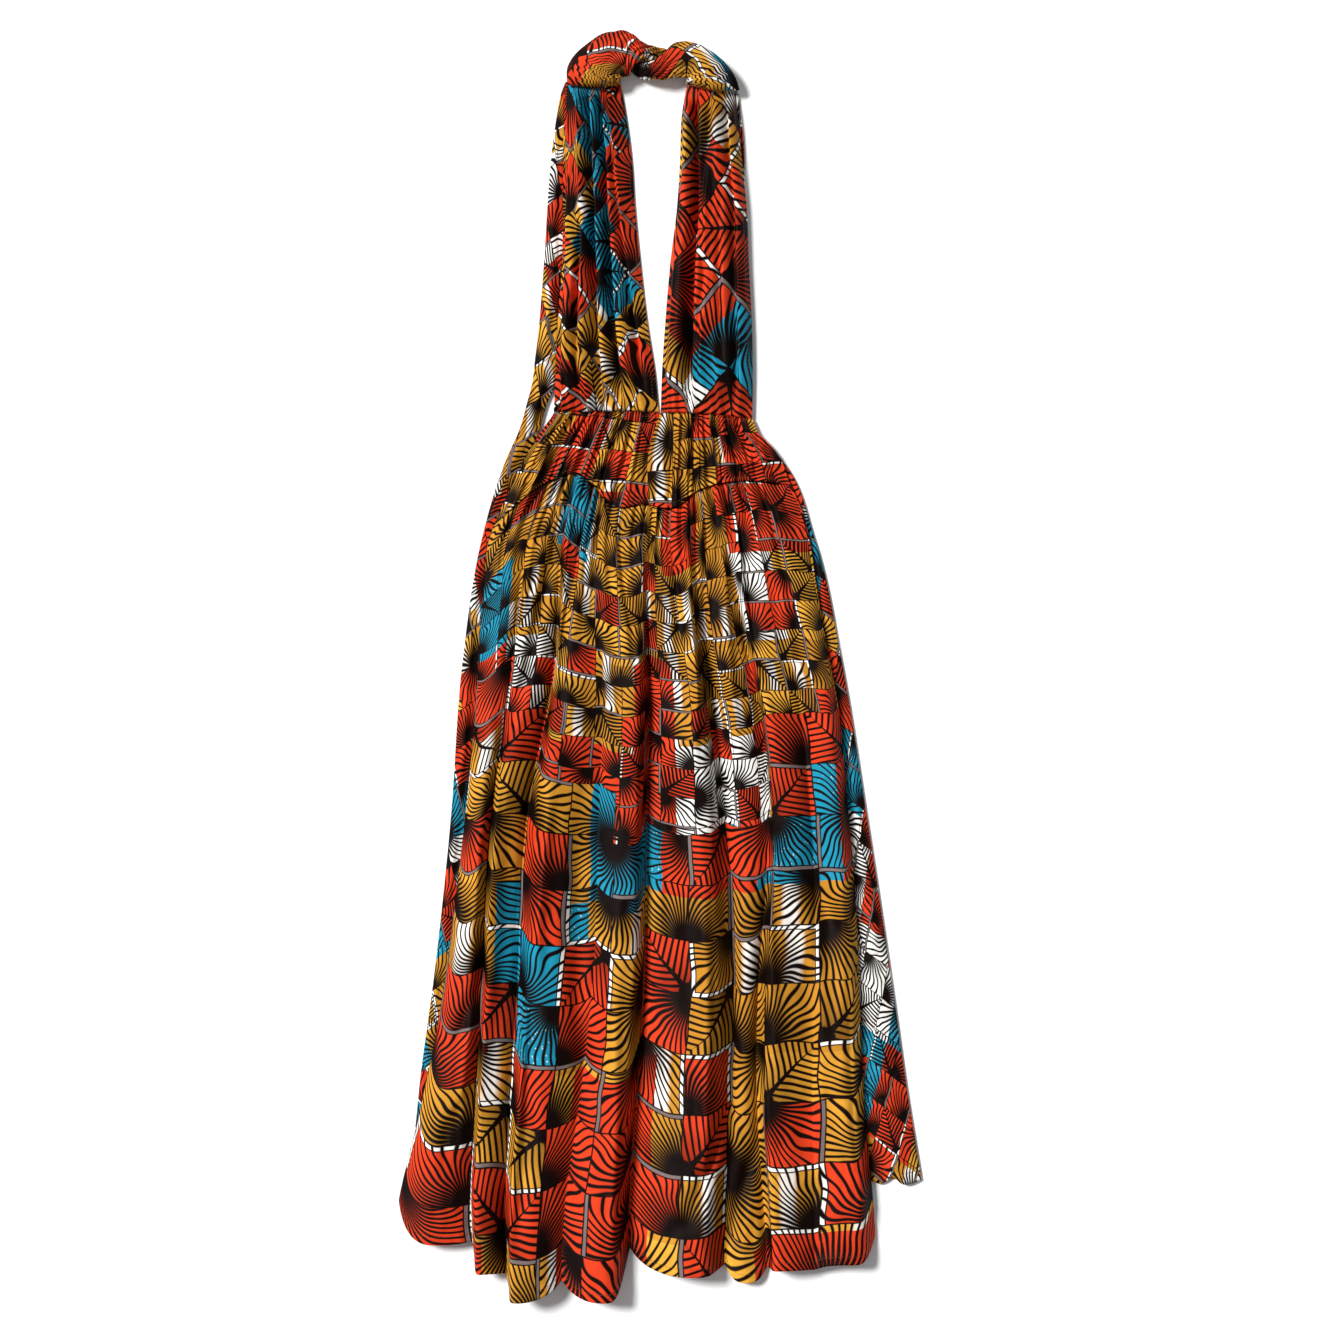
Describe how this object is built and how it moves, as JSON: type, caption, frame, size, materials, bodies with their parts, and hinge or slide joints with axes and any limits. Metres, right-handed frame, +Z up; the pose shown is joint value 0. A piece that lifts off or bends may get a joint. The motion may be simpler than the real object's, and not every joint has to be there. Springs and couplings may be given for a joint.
{
  "type": "halter maxi dress",
  "caption": "Long printed cotton dress laid flat: wide straps twisted at the neck, gathered band under the bust, full folded skirt, loose strap ends behind.",
  "frame": {"origin": "on the surface the dress lies on, under the middle of its outline", "axes": "+Y from the hem to the neck, +X to the right as seen from above, +Z up from the surface to the front of the dress"},
  "size_m": [0.6292, 1.5207, 0.037],
  "materials": {
    "print_cotton_ochre": "waxed cotton, softly sheened",
    "print_cotton_red": "waxed cotton, softly sheened",
    "print_cotton_teal": "waxed cotton, softly sheened"
  },
  "bodies": {
    "root": {"strap_front_left": "print_cotton_ochre", "strap_front_right": "print_cotton_red", "neck_twist_a": "print_cotton_ochre", "neck_twist_b": "print_cotton_teal", "strap_tail_left": "print_cotton_ochre", "strap_tail_right": "print_cotton_red", "yoke_front_left": "print_cotton_red", "yoke_front_right": "print_cotton_red", "yoke_back": "print_cotton_red", "skirt_front": "print_cotton_ochre", "skirt_back": "print_cotton_ochre"}
  },
  "joints": []
}
